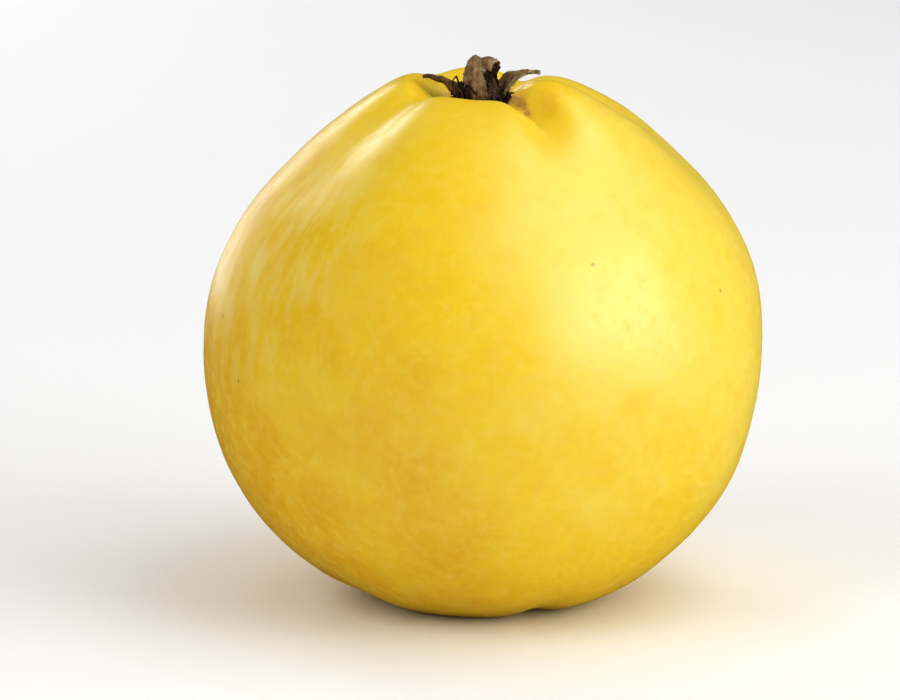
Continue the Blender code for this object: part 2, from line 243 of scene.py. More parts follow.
def in_crease(point):
    """1 along most of the crease, and 0 beyond both its ends."""
    reach = point.xy.length
    return smoothstep(*CREASE_SETS_IN, reach) * (1.0 - smoothstep(*CREASE_FADES, reach))


def sunk(share, azimuth):
    """How far the surface lies inside the mean outline, in metres."""
    fade = 1.0 - smoothstep(*FURROWS_FADE, share)
    at_foot = smoothstep(*FOOT_FURROWS_SET_IN, share) * (1.0 - smoothstep(*FOOT_FURROWS_FADE, share))
    clear_of_floor = smoothstep(*CLEAR_OF_FLOOR, share)
    at_belly = clear_of_floor * math.sin(math.pi * share)
    widening = 1.0 + FURROW_WIDENING * (1.0 - smoothstep(*FURROWS_WIDEN, share))
    depth = 0.0
    for furrow in FURROWS:
        offset = from_furrow(furrow, share, azimuth)
        at_calyx = smoothstep(*furrow.sets_in, share) * fade
        depth += furrow.depth * at_calyx * bell(offset, furrow.half_width * widening)
        depth += FOOT_FURROW_DEPTH * at_foot * bell(offset, furrow.half_width)
        depth += BELLY_FURROW_DEPTH * at_belly * bell(offset, BELLY_FURROW_HALF_WIDTH)
    oval = math.cos(2.0 * math.radians(azimuth - OUT_OF_ROUND_AZIMUTH))
    return depth - OUT_OF_ROUND * oval * clear_of_floor * (1.0 - smoothstep(*OUT_OF_ROUND_FADES, share))


def on_fruit(share, azimuth, above=0.0):
    """A point on the fruit's surface, or that far above it, before it is moved onto the floor."""
    mean, normal = MEAN.at(share)
    flat = mean + normal * (above - sunk(share, azimuth))
    turn = math.radians(azimuth)
    point = Vector((flat.x * math.cos(turn), flat.x * math.sin(turn), flat.y))
    lump = LUMP_HEIGHT * noise.noise(point / LUMP_LENGTH) * smoothstep(*CLEAR_OF_FLOOR, share)
    point += Vector((normal.x * math.cos(turn), normal.x * math.sin(turn), normal.y)) * lump
    downhill = math.radians(RIM_LEAN_AZIMUTH)
    run = point.x * math.cos(downhill) + point.y * math.sin(downhill)
    point.z -= RIM_LEAN * smoothstep(*RIM, share) * run
    high_rib = bell(turn_between(azimuth, HIGH_RIB_AZIMUTH), HIGH_RIB_HALF_WIDTH)
    high_rib *= smoothstep(*HIGH_RIB_RISES, share) * (1.0 - smoothstep(*HIGH_RIB_FADES, share))
    point.z += HIGH_RIB_RISE * high_rib
    point.x += SHOULDER_SHIFT * smoothstep(*SHOULDERS, share)
    point.x -= CALYX_SHIFT * smoothstep(*BASIN, share)
    return point


def share_at(radius, at_calyx):
    inner, outer = (1.0, 0.90) if at_calyx else (0.0, 0.10)
    for _ in range(30):
        middle = 0.5 * (inner + outer)
        if MEAN.at(middle)[0].x < radius:
            inner = middle
        else:
            outer = middle
    return inner


def over_hollow(radius, azimuth, above, at_calyx=True):
    return on_fruit(share_at(radius, at_calyx), azimuth, above)


def floor_level():
    foot = [ring / 200 for ring in range(int(200 * FOOT_FURROWS_FADE[1]))]
    azimuths = [4.5 * facet for facet in range(80)]
    return FLAT_DEPTH + min(on_fruit(share, azimuth).z for share in foot for azimuth in azimuths)


FLOOR = floor_level()

# ---- Mesh helpers -----------------------------------------------------------------------------


def mesh_from(points, faces, name):
    mesh = bpy.data.meshes.new(name)
    mesh.from_pydata([tuple(point) for point in points], [], faces)
    mesh.validate()
    shape = bmesh.new()
    shape.from_mesh(mesh)
    bmesh.ops.recalc_face_normals(shape, faces=shape.faces)
    shape.to_mesh(mesh)
    shape.free()
    mesh.shade_smooth()
    return mesh


class Skins:
    """Collects bands of faces over loops of points, with one number a point for the material."""

    def __init__(self):
        self.points = []
        self.faces = []
        self.numbers = []

    def loops(self, loops, numbers, closed=False, caps=True):
        start = len(self.points)
        count = len(loops[0])
        for loop, row in zip(loops, numbers):
            self.points.extend(loop)
            self.numbers.extend(row)
        rows = len(loops)
        for lower in range(rows if closed else rows - 1):
            upper = (lower + 1) % rows
            for i in range(count):
                beside = (i + 1) % count
                self.faces.append(
                    (
                        start + lower * count + i,
                        start + lower * count + beside,
                        start + upper * count + beside,
                        start + upper * count + i,
                    )
                )
        if closed or not caps:
            return
        for row in (0, rows - 1):
            first = start + row * count
            loop = loops[row]
            self.points.append(sum(loop, Vector()) / count)
            self.numbers.append(sum(numbers[row]) / count)
            middle = len(self.points) - 1
            for i in range(count):
                self.faces.append((first + i, first + (i + 1) % count, middle))

    def mesh(self, name, attribute):
        mesh = mesh_from(self.points, self.faces, name)
        values = mesh.attributes.new(attribute, "FLOAT", "POINT")
        values.data.foreach_set("value", np.array(self.numbers, dtype=np.float32))
        return mesh


def place(mesh, name, slot, *nodes):
    piece = bpy.data.objects.new(name, mesh)
    bpy.context.scene.collection.objects.link(piece)
    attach(piece, "root")
    for node in nodes:
        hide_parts(node)
    return piece


def mesh_points(mesh):
    points = np.empty(len(mesh.vertices) * 3)
    mesh.vertices.foreach_get("co", points)
    return points.reshape(-1, 3)


def set_mesh_points(mesh, points):
    mesh.vertices.foreach_set("co", points.reshape(-1))
    mesh.update()


# ---- The fruit ----------------------------------------------------------------------------------

# The skin's unevenness, from coarse to fine: the depth, the length and the shift of each layer of it.
UNEVENNESS = (
    (0.07 * MM, 9.0 * MM, Vector((2.0, 9.0, 4.0))),
    (0.04 * MM, 4.5 * MM, Vector((0.0, 0.0, 0.0))),
    (0.018 * MM, 2.1 * MM, Vector((7.0, 3.0, 1.0))),
)
PUCKER_DEPTH = 0.22 * MM
PUCKERS = 17.0
PUCKER_WAVER = 2.4
PUCKER_WAVE_LENGTH = 3.0 * MM
CROWN = 0.75


def crowded(share):
    """A share of the meridian's length, with the shares near both its ends drawn closer together."""
    return share - END_CROWDING * math.sin(2.0 * math.pi * share)


def fine_relief(point, share, azimuth):
    """What the skin's fine unevenness takes off the surface, in metres."""
    relief = sum(depth * (1.0 + noise.noise(point / length + shift)) for depth, length, shift in UNEVENNESS)
    near_calyx = smoothstep(0.90, 0.95, share) * (1.0 - smoothstep(0.975, 0.995, share))
    near_stalk = (1.0 - smoothstep(0.06, 0.12, share)) * smoothstep(0.01, 0.03, share)
    waver = PUCKER_WAVER * noise.noise(point / PUCKER_WAVE_LENGTH)
    if share > CROWN:
        relief += CREASE_DEPTH * bell(from_crease(point), CREASE_HALF_WIDTH) * in_crease(point)
    between = abs(math.sin(math.radians(azimuth) * PUCKERS + waver))
    relief += PUCKER_DEPTH * (near_calyx + near_stalk) * (1.0 - between) ** 2
    return relief


def fruit_piece():
    points = []
    russet_and_crease_shade = []
    ripe_and_painted_light = []
    down = []
    streaks = []
    for ring in range(1, ALONG):
        share = crowded(ring / ALONG)
        for facet in range(AROUND):
            azimuth = 360.0 * facet / AROUND
            point = on_fruit(share, azimuth)
            point = on_fruit(share, azimuth, -fine_relief(point, share, azimuth))
            points.append(point)
            russet_and_crease_shade.append(russet_and_crease_shade_at(point, share, azimuth))
            ripe_and_painted_light.append(ripeness_and_painted_light_at(point))
            down.append(down_at(share, azimuth))
            streaks.append(down_streak_place(share, azimuth))
    faces = []
    for ring in range(ALONG - 2):
        for facet in range(AROUND):
            beside = (facet + 1) % AROUND
            low, high = ring * AROUND, (ring + 1) * AROUND
            faces.append((low + facet, low + beside, high + beside, high + facet))
    for ring, share in ((0, 0.0), (ALONG - 2, 1.0)):
        points.append(on_fruit(share, 0.0))
        russet_and_crease_shade.append(1.0)
        ripe_and_painted_light.append(0.5)
        down.append(1.0)
        streaks.append((0.0, 0.0, STREAK_LENGTH * share))
        middle = len(points) - 1
        for facet in range(AROUND):
            faces.append((ring * AROUND + facet, ring * AROUND + (facet + 1) % AROUND, middle))
    for point in points:
        point.z = max(point.z, FLOOR)
    mesh = mesh_from(points, faces, "quince_skin")
    for name, numbers in (("russet_and_crease_shade", russet_and_crease_shade), ("ripe_and_painted_light", ripe_and_painted_light), ("down", down)):
        values = mesh.attributes.new(name, "FLOAT", "POINT")
        values.data.foreach_set("value", np.array(numbers, dtype=np.float32))
    values = mesh.attributes.new("down_streaks", "FLOAT_VECTOR", "POINT")
    values.data.foreach_set("vector", np.array(streaks, dtype=np.float32).reshape(-1))
    return mesh


CALYX_MIDDLE = on_fruit(1.0, 0.0)
STALK_MIDDLE = on_fruit(0.0, 0.0)

# How far from the calyx or the stalk each patch of russet begins to fade, and where it ends; the wall fades
# are for painted shade beside the deep furrow's crease.
CALYX_RUSSET_FADES = (4.5 * MM, 8.8 * MM)
FURROW_RUSSET_FADES = (8.0 * MM, 16.0 * MM)
CREASE_WALL_SHADE_FADES = (11.0 * MM, 18.0 * MM)
STALK_RUSSET_FADES = (2.5 * MM, 8.0 * MM)


def russet_and_crease_shade_at(point, share, azimuth):
    """How brown and corky the skin is there, from 0 to 1, with painted shade along the deep furrow's crease
    and on its wall.
    """
    if share > 0.7:
        away = (point.xy - CALYX_MIDDLE.xy).length
        amount = 1.0 - smoothstep(*CALYX_RUSSET_FADES, away)
        for furrow in FURROWS[1:]:
            wall = bell(from_furrow(furrow, share, azimuth), 11.0)
            amount += 0.30 * wall * (1.0 - smoothstep(*FURROW_RUSSET_FADES, away))
        # Painted shade: a tan wall beside the deep furrow's crease and a dark line along it, where the front
        # rib's lip shades the furrow.
        offset = from_crease(point)
        wall = smoothstep(-1.5 * MM, 0.0, offset) * (1.0 - smoothstep(1.0 * MM, 4.5 * MM, offset))
        amount += 0.33 * wall * (1.0 - smoothstep(*CREASE_WALL_SHADE_FADES, away))
        amount += 0.50 * bell(offset, 0.5 * MM) * in_crease(point)
    else:
        away = (point.xy - STALK_MIDDLE.xy).length
        amount = 0.9 * (1.0 - smoothstep(*STALK_RUSSET_FADES, away)) if share < 0.2 else 0.0
    return min(1.0, amount)


# The ripest gold runs down the fruit in a band, which slants a little towards its foot; the band is partly
# ripeness and partly painted shade, between the lights on the right and on the left.
# Partly a painted highlight: the skin turns paler and bluer towards this side, which faces the right softbox.
LEMON_AND_LIT_SIDE = Vector((0.72, -0.55, 0.42)).normalized()
DOWNY_AZIMUTH = -160.0
STREAK_LENGTH = 40.0 * MM
SHADED_GOLD_BAND_AZIMUTH = -108.0
SHADED_GOLD_BAND_SLANT = 9.0
SHADED_GOLD_BAND_HALF_WIDTH = 12.0


def ripeness_and_painted_light_at(point):
    """How deep the gold of the skin is there: 0 on its lemon side, 1 on its ripest side; partly ripeness, and
    partly painted light, paler towards the right softbox and deeper in shade.
    """
    out = (point - Vector((0.0, 0.0, 0.5 * HEIGHT))).normalized()
    azimuth = math.degrees(math.atan2(point.y, point.x))
    low_down = smoothstep(0.5, -0.6, out.z)
    middle = SHADED_GOLD_BAND_AZIMUTH + SHADED_GOLD_BAND_SLANT * low_down
    band = bell(turn_between(azimuth, middle), SHADED_GOLD_BAND_HALF_WIDTH) * bell(out.z + 0.1, 0.75)
    ripe_and_painted_light = 0.40 - 0.36 * out.dot(LEMON_AND_LIT_SIDE) + 0.26 * band
    # Painted shade: a deeper gold patch on the deep furrow's wall just past the crease, which faces away from
    # the right softbox.
    if point.z > 0.8 * HEIGHT:
        past = from_crease(point) - 3.0 * MM
        ripe_and_painted_light += 0.35 * bell(past, 2.5 * MM) * bell(point.xy.length - 16.0 * MM, 4.5 * MM)
    return ripe_and_painted_light


def down_at(share, azimuth):
    """How much of its pale down the skin still has there, from 0 to 1."""
    kept = bell(turn_between(azimuth, DOWNY_AZIMUTH), 38.0) * bell(share - 0.66, 0.17)
    in_basin = smoothstep(0.905, 0.94, share)
    in_cavity = 1.0 - smoothstep(0.05, 0.12, share)
    return min(1.0, kept + 0.8 * in_basin + in_cavity)


def down_streak_place(share, azimuth):
    """Where the down's streaks are read: squeezed along the meridians, so that they run with them."""
    turn = math.radians(azimuth)
    return (0.5 * WIDTH * math.cos(turn), 0.5 * WIDTH * math.sin(turn), STREAK_LENGTH * share)


skin_mesh = fruit_piece()

# The finer skin takes the place of the solid exactly: its box is fitted to the solid's.
low, high = (np.array(corner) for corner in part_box("fruit"))
fine = mesh_points(skin_mesh)
FIT = (high - low) / (fine.max(0) - fine.min(0))
MOVE = low - fine.min(0) * FIT


def fitted(mesh):
    set_mesh_points(mesh, mesh_points(mesh) * FIT + MOVE)
    return mesh


def fitted_below(mesh, top):
    """The fitted mesh, with its height above its foot drawn in so that it ends below the top."""
    points = mesh_points(fitted(mesh))
    foot = points[:, 2].min()
    points[:, 2] = foot + (points[:, 2] - foot) * min(1.0, (top - foot) / (points[:, 2].max() - foot))
    set_mesh_points(mesh, points)
    return mesh


def fitted_point(point):
    return Vector(np.array(point) * FIT + MOVE)


fruit = place(fitted(skin_mesh), "quince_skin", "skin", "fruit")

# ---- The calyx ----------------------------------------------------------------------------------


def sepal_width(sepal, share):
    foot = 0.75 + 0.25 * smoothstep(0.0, 0.3, share)
    return max(sepal.width * foot * (1.0 - smoothstep(sepal.narrows, 1.15, share)), SEPAL_TIP)


def sepal_spine(sepal):
    """The sepal's middle line and back direction, row by row, with one spare row at each end."""
    turn = math.radians(sepal.azimuth)
    outwards = Vector((math.cos(turn), math.sin(turn), 0.0))
    side = Vector((-math.sin(turn), math.cos(turn), 0.0))
    spine = over_hollow(SEPAL_ROOT, sepal.azimuth, JOIN_GAP + SEPAL_SINK * RING_HEIGHT)
    rows = []
    for row in range(SEPAL_ROWS + 1):
        share = row / SEPAL_ROWS
        turned = (sepal.ends_at - sepal.leaves_at) * share**sepal.lateness
        angle = math.radians(sepal.leaves_at + turned)
        along = outwards * math.cos(angle) + Vector((0.0, 0.0, math.sin(angle)))
        if row:
            spine = spine + along * (sepal.length / SEPAL_ROWS)
        rows.append((spine + side * (sepal.sway * share**2), side.cross(along)))
    first = (2.0 * rows[0][0] - rows[1][0], rows[0][1])
    last = (2.0 * rows[-1][0] - rows[-2][0], rows[-1][1])
    return side, [first] + rows + [last]


def sepal_at(rows, share):
    want = share * SEPAL_ROWS
    i = min(int(want), SEPAL_ROWS - 1)
    part = want - i
    middle = catmull_rom(*[rows[i + k][0] for k in range(4)], part)
    back = rows[i + 1][1].lerp(rows[i + 2][1], part).normalized()
    return middle, back


SEPAL_FINE_ROWS = 84
SEPAL_FINE_COLUMNS = 34
SEPAL_CURL = 0.55 * MM
SEPAL_FOLD = 0.34 * MM
SEPAL_WRINKLE = 0.07 * MM
SEPAL_VEIN = 0.13 * MM
SEPAL_MIDRIB = 0.16 * MM


def add_sepal(skins, sepal, number):
    side, rows = sepal_spine(sepal)
    shift = Vector((11.0 * number, 5.0 * number, 0.0))
    loops = []
    numbers = []
    for row in range(SEPAL_FINE_ROWS + 1):
        share = row / SEPAL_FINE_ROWS
        middle, back = sepal_at(rows, share)
        half = 0.5 * sepal_width(sepal, share)
        half *= 1.0 + 0.22 * noise.noise(Vector((share * 6.0, number * 3.0, 0.0)))
        closing = smoothstep(0.0, 0.10, 1.0 - share)
        half *= 0.35 + 0.65 * closing**0.5
        inner_face = []
        outer_face = []
        inner_tone = []
        outer_tone = []
        # Painted shade: the tone darkens towards each sepal's root, where the sepals crowd round the core.
        fade = smoothstep(0.05, 0.45, share)
        for column in range(SEPAL_FINE_COLUMNS + 1):
            across = 2.0 * column / SEPAL_FINE_COLUMNS - 1.0
            edge = abs(across) ** 3
            torn = noise.noise(Vector((share * 16.0, 2.0 * (across > 0.0), number * 5.0)))
            notch = noise.noise(Vector((share * 5.0, 4.0 * (across > 0.0), number * 9.0)))
            point = middle + side * (half * across * (1.0 + edge * (0.22 * torn + 0.30 * notch)))
            point -= back * (SEPAL_CUP * half * across**2)
            curl = SEPAL_CURL * edge * noise.noise(Vector((share * 5.0, across * 1.5, number * 2.0)) + shift)
            wrinkle = SEPAL_FOLD * noise.noise(point / (1.6 * MM) + shift)
            wrinkle += SEPAL_WRINKLE * noise.noise(point / (0.45 * MM) + shift)
            point += back * (curl + wrinkle)
            fibre = noise.noise(Vector((across * 7.0, share * 2.5, number * 4.0)))
            veins = SEPAL_VEIN * fibre * (1.0 - edge)
            midrib = SEPAL_MIDRIB * bell(across, 0.14) * (1.0 - 0.7 * share)
            thick = SEPAL_THICKNESS * (0.40 - 0.26 * edge) * (0.75 + 0.25 * (1.0 - share))
            inner_face.append(point - back * (thick - 0.4 * veins))
            outer_face.append(point + back * (thick + veins + midrib))
            rim = 0.22 * edge * fade + 0.30 * fibre
            inner_tone.append(sepal.tone * (0.10 + 0.55 * fade) + rim)
            outer_tone.append(sepal.tone * (0.12 + 0.90 * fade) + rim - 0.15 * edge * (1.0 - fade))
        loops.append(inner_face + outer_face[::-1])
        numbers.append(inner_tone + outer_tone[::-1])
    skins.loops(loops, numbers)


def add_ring(skins):
    facets = 120
    section = (
        (RING_INNER, -0.6),
        (RING_OUTER + 0.2 * MM, -0.6),
        (RING_OUTER + 0.15 * MM, -0.2),
        (RING_OUTER, 0.25),
        (RING_OUTER - 0.25 * MM, 0.62),
        (RING_OUTER - 0.6 * MM, 0.88),
        (0.5 * (RING_INNER + RING_OUTER), 0.98),
        (RING_INNER + 0.3 * MM, 0.95),
        (RING_INNER, 0.6),
        (RING_INNER, 0.0),
    )
    loops = []
    numbers = []
    for radius, rise in section:
        loop = []
        row = []
        for facet in range(facets):
            azimuth = 360.0 * facet / facets
            turn = math.radians(azimuth)
            rough = noise.noise(Vector((3.0 * math.cos(turn), 3.0 * math.sin(turn), rise)))
            crack = abs(noise.noise(Vector((9.0 * math.cos(turn), 9.0 * math.sin(turn), 4.0))))
            out = radius + 0.14 * MM * rough - 0.25 * MM * max(0.0, 0.25 - crack) * 4.0 * (rise > 0.0)
            loop.append(over_hollow(out, azimuth, JOIN_GAP + rise * RING_HEIGHT + 0.08 * MM * rough))
            row.append(0.30 + 0.25 * rough)
        loops.append(loop)
        numbers.append(row)
    skins.loops(loops, numbers, closed=True)


def sepals_piece():
    skins = Skins()
    add_ring(skins)
    for number, sepal in enumerate(SEPALS):
        add_sepal(skins, sepal, number)
    return skins.mesh("calyx_sepals", "tone")


sepals = place(fitted_below(sepals_piece(), CAD_BOX[1][2]), "calyx_sepals", "sepals", "dried_sepals")

# ---- The stamens ----------------------------------------------------------------------------------


def nearest_to(node):
    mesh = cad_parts[node].data
    corners = [vert.co for vert in mesh.vertices]
    return BVHTree.FromPolygons(corners, [tuple(face.vertices) for face in mesh.polygons])


def curving_spine(azimuth, start, spread, height, sideways, above, bend):
    """The middle line of a thread that rises, leans outwards and turns sideways from its root."""
    root = over_hollow(start, azimuth, above)
    off_axis = root.x - start * math.cos(math.radians(azimuth))
    spine = []
    for share in STAMEN_FORM:
        turn = math.radians(azimuth + sideways * share**2)
        away = start + spread * share
        rise = height * math.sin(bend * math.pi * share)
        spine.append(Vector((off_axis + away * math.cos(turn), away * math.sin(turn), root.z + rise)))
    return spine


def stamen_spine(draw):
    azimuth = draw.uniform(0.0, 360.0)
    start = draw.uniform(0.4, 1.5) * MM
    spread = draw.uniform(0.0, 3.4) * MM
    height = draw.uniform(3.4, 6.2) * MM
    sideways = draw.uniform(-30.0, 30.0)
    above = JOIN_GAP + STAMEN_SINK * CORE_HEIGHT
    return curving_spine(azimuth, start, spread, height, sideways, above, 0.5)


def thread_at(spine, share):
    """A point on the smooth line through the spine's points, which are spaced as in the form."""
    i = min(max(bisect.bisect_right(STAMEN_FORM, share), 1), len(STAMEN_FORM) - 1) - 1
    part = (share - STAMEN_FORM[i]) / (STAMEN_FORM[i + 1] - STAMEN_FORM[i])
    before = spine[max(i - 1, 0)]
    after = spine[min(i + 2, len(spine) - 1)]
    return catmull_rom(before, spine[i], spine[i + 1], after, part)


def add_thread(skins, spine, radius_at, tone_at, number, rows=26, sides=7, crumple=0.10 * MM):
    loops = []
    numbers = []
    shift = Vector((3.7 * number, 1.3 * number, 0.0))
    for row in range(rows + 1):
        share = row / rows
        middle = thread_at(spine, share)
        ahead = thread_at(spine, min(1.0, share + 0.02)) - thread_at(spine, max(0.0, share - 0.02))
        ahead.normalize()
        right = ahead.orthogonal().normalized()
        up = ahead.cross(right)
        wobble = noise.noise_vector(Vector((share * 4.0, 0.0, 0.0)) + shift) * crumple * share
        loop = []
        for corner in range(sides):
            turn = 2.0 * math.pi * corner / sides
            reach = radius_at(share) * (1.0 + 0.25 * noise.noise(Vector((share * 11.0, corner, number))))
            loop.append(middle + wobble + (right * math.cos(turn) + up * math.sin(turn)) * reach)
        loops.append(loop)
        numbers.append([tone_at(share)] * sides)
    skins.loops(loops, numbers)


def at_anther(share):
    return bell(share - 0.92, 0.06)


def filament_radius(share):
    thread = 0.17 * MM * (1.15 - 0.35 * share)
    anther = 0.24 * MM * at_anther(share)
    return (thread + anther) * (1.0 - 0.6 * smoothstep(0.96, 1.0, share))


def style_radius(share):
    return 0.24 * MM * (1.2 - 0.5 * share) + 0.14 * MM * bell(share - 0.97, 0.05)


def stamens_piece():
    draw = random.Random(11)
    nearby = nearest_to("dried_sepals")
    skins = Skins()
    facets = 48
    loops = []
    numbers = []
    for spread, rise in CORE_FORM:
        loop = []
        for facet in range(facets):
            azimuth = 360.0 * facet / facets
            point = over_hollow(CORE_RADIUS * spread, azimuth, JOIN_GAP + rise * CORE_HEIGHT)
            point.z += 0.16 * MM * noise.noise(point / (0.5 * MM)) * (rise > 0.3)
            loop.append(point)
        loops.append(loop)
        numbers.append([0.15] * facets)
    skins.loops(loops, numbers)
    count = 0
    while count < STAMENS:
        spine = stamen_spine(draw)
        points = [fitted_point(point) for point in spine[1:]]
        points += [0.5 * (a + b) for a, b in zip(points, points[1:])]
        nearest = min(nearby.find_nearest(point)[3] for point in points)
        if nearest > JOIN_GAP + STAMEN_THICKNESS:
            tint = draw.uniform(0.0, 0.35)
            add_thread(skins, spine, filament_radius, lambda share: tint + 0.5 * at_anther(share), count)
            count += 1
    for number in range(5):
        azimuth = 72.0 * number + 20.0
        root = over_hollow(0.45 * MM, azimuth, JOIN_GAP + STAMEN_SINK * CORE_HEIGHT)
        turn = math.radians(azimuth)
        outwards = Vector((math.cos(turn), math.sin(turn), 0.0))
        spine = [
            root + outwards * (0.55 * MM * share**2) + Vector((0.0, 0.0, 4.6 * MM * share))
            for share in STAMEN_FORM
        ]
        add_thread(skins, spine, style_radius, lambda share: 0.55 + 0.2 * share, 40 + number)
    return skins.mesh("calyx_stamens", "tone")


stamens = place(fitted(stamens_piece()), "calyx_stamens", "stamens", "withered_stamens")


def shred_spine(draw, at_left):
    azimuth = draw.uniform(150.0, 238.0) if at_left else draw.uniform(-62.0, 30.0)
    start = draw.uniform(2.6, 4.2) * MM
    spread = draw.uniform(-1.0, 2.2) * MM
    height = draw.uniform(1.8, 5.0 if at_left else 3.6) * MM
    sideways = draw.uniform(-38.0, 38.0)
    return curving_spine(azimuth, start, spread, height, sideways, JOIN_GAP + 0.6 * RING_HEIGHT, 0.75)


def shreds_piece():
    """Thin dark shreds of the withered flower, lying in tangles on the ring at both sides."""
    draw = random.Random(23)
    skins = Skins()
    for number in range(SHREDS):
        spine = shred_spine(draw, at_left=number % 5 < 3)
        thick = draw.uniform(0.11, 0.27) * MM
        tint = draw.uniform(0.0, 0.45)
        add_thread(
            skins,
            spine,
            lambda share: thick * (1.1 - 0.7 * share),
            lambda share: tint,
            number,
            crumple=0.35 * MM,
        )
    return skins.mesh("calyx_shreds", "tone")


shreds = place(fitted(shreds_piece()), "calyx_shreds", "stamens")

# ---- The stalk --------------------------------------------------------------------------------------


def stalk_radius(share):
    shares = [row[0] for row in STALK_FORM]
    i = min(max(bisect.bisect_right(shares, share), 1), len(shares) - 1) - 1
    part = (share - shares[i]) / (shares[i + 1] - shares[i])
    rows = [STALK_FORM[min(max(k, 0), len(STALK_FORM) - 1)][1] for k in (i - 1, i, i + 1, i + 2)]
    return catmull_rom(*rows, part)


def stalk_piece():
    facets, rows = 72, 56
    root = STALK_MIDDLE
    skins = Skins()
    loops = []
    numbers = []
    for row in range(-4, rows + 1):
        share = max(row, 0) / rows
        loop = []
        for facet in range(facets):
            turn = 2.0 * math.pi * facet / facets
            ridge = abs(math.sin(6.0 * turn + 1.6 * noise.noise(Vector((share * 3.0, math.cos(turn), 0.0)))))
            uneven = 1.0 + 0.07 * math.cos(3.0 * turn + 4.0 * share)
            around = Vector((4.0 * math.cos(turn), 4.0 * math.sin(turn), share * 7.0))
            bark = 0.06 * ridge + 0.05 * noise.noise(around)
            radius = STALK_RADIUS * (stalk_radius(share) * uneven + bark - 0.04)
            top = over_hollow(radius, math.degrees(turn), JOIN_GAP + min(row, 0) * 0.3 * MM, at_calyx=False).z
            end = FLOOR + STALK_END + STALK_END_SLANT * math.cos(turn)
            splinter = 0.18 * MM * noise.noise(Vector((7.0 * math.cos(turn), 7.0 * math.sin(turn), 2.0)))
            x = root.x + radius * math.cos(turn) - STALK_LEAN * share
            y = root.y + radius * math.sin(turn)
            loop.append(Vector((x, y, top + (end + splinter - top) * share)))
        loops.append(loop)
        numbers.append([0.0] * facets)
    last = loops[-1]
    middle = sum(last, Vector()) / facets
    for inset, lift in ((0.86, 0.10), (0.80, 0.28), (0.55, 0.18), (0.25, 0.30)):
        loop = []
        for facet, point in enumerate(last):
            rough = 0.16 * MM * noise.noise(Vector((point.x, point.y, 0.0)) / (0.35 * MM) * inset)
            inside = middle + (point - middle) * inset
            loop.append(inside + Vector((0.0, 0.0, lift * MM + rough)))
        loops.append(loop)
        numbers.append([1.0] * facets)
    skins.loops(loops, numbers)
    return skins.mesh("woody_stalk", "tone")


stalk = place(fitted(stalk_piece()), "woody_stalk", "stalk", "stalk_stub")

# ---- The down -----------------------------------------------------------------------------------------


def add_hair(points, faces, root, normal, sweep, length, radius):
    """One short curved hair of three sides, as a tapered spike of two joints."""
    right = normal.orthogonal().normalized()
    up = normal.cross(right)
    start = len(points)
    bend = (normal + sweep).normalized()
    for middle, thin in ((root - normal * 0.1 * MM, 1.0), (root + normal * (0.5 * length), 0.7)):
        for corner in range(3):
            turn = 2.0 * math.pi * corner / 3
            points.append(middle + (right * math.cos(turn) + up * math.sin(turn)) * (radius * thin))
    points.append(root + normal * (0.5 * length) + bend * (0.5 * length))
    for corner in range(3):
        beside = (corner + 1) % 3
        faces.append((start + corner, start + beside, start + 3 + beside, start + 3 + corner))
        faces.append((start + 3 + corner, start + 3 + beside, start + 6))


def surface_samples(mesh, wanted, draw, density):
    """Random points on a mesh with their normals, more of them where density() is high."""
    mesh.calc_loop_triangles()
    areas = []
    for triangle in mesh.loop_triangles:
        middle = sum((mesh.vertices[i].co for i in triangle.vertices), Vector()) / 3.0
        areas.append(triangle.area * density(middle, triangle.normal))
    total = np.cumsum(areas)
    samples = []
    for _ in range(wanted):
        triangle = mesh.loop_triangles[int(np.searchsorted(total, draw.random() * total[-1]))]
        a, b = draw.random(), draw.random()
        if a + b > 1.0:
            a, b = 1.0 - a, 1.0 - b
        corners = [mesh.vertices[i] for i in triangle.vertices]
        point = corners[0].co + (corners[1].co - corners[0].co) * a + (corners[2].co - corners[0].co) * b
        samples.append((point, triangle.normal.copy()))
    return samples


def down_piece(name, sources, seed):
    draw = random.Random(seed)
    points = []
    faces = []
    for mesh, wanted, density, shortest, longest, radius in sources:
        for point, normal in surface_samples(mesh, wanted, draw, density):
            sweep = Vector((draw.gauss(0.0, 0.7), draw.gauss(0.0, 0.7), draw.gauss(0.0, 0.7)))
            lean = (normal + 0.5 * sweep).normalized()
            length = draw.uniform(shortest, longest)
            if point.z + length < CAD_BOX[1][2]:
                add_hair(points, faces, point, lean, sweep, length, radius)
    mesh = bpy.data.meshes.new(name)
    mesh.from_pydata([tuple(point) for point in points], [], faces)
    mesh.shade_smooth()
    return mesh


calyx_foot = fitted_point(CALYX_MIDDLE)
stalk_roof = fitted_point(STALK_MIDDLE)


def round_calyx(point, normal):
    away = (point - calyx_foot).length
    return 1.0 - smoothstep(3.5 * MM, 8.5 * MM, away) if point.z > 0.06 else 0.0


def in_cavity(point, normal):
    away = (point - stalk_roof).length
    return 1.0 - smoothstep(2.0 * MM, 7.0 * MM, away) if point.z < 0.02 else 0.0


def everywhere(point, normal):
    return 1.0


skin_down = (
    (fruit.data, 1500, round_calyx, 0.35 * MM, 1.0 * MM, 0.022 * MM),
    (fruit.data, 500, in_cavity, 0.35 * MM, 1.0 * MM, 0.022 * MM),
)
calyx_down = (
    (sepals.data, 2600, everywhere, 0.15 * MM, 0.5 * MM, 0.020 * MM),
    (stamens.data, 500, everywhere, 0.15 * MM, 0.45 * MM, 0.016 * MM),
    (stalk.data, 260, everywhere, 0.15 * MM, 0.4 * MM, 0.018 * MM),
)
skin_hairs = place(down_piece("down_on_skin", skin_down, 3), "down_on_skin", "skin")
calyx_hairs = place(down_piece("down_on_calyx", calyx_down, 4), "down_on_calyx", "sepals")

# ---- Materials ------------------------------------------------------------------------------------------


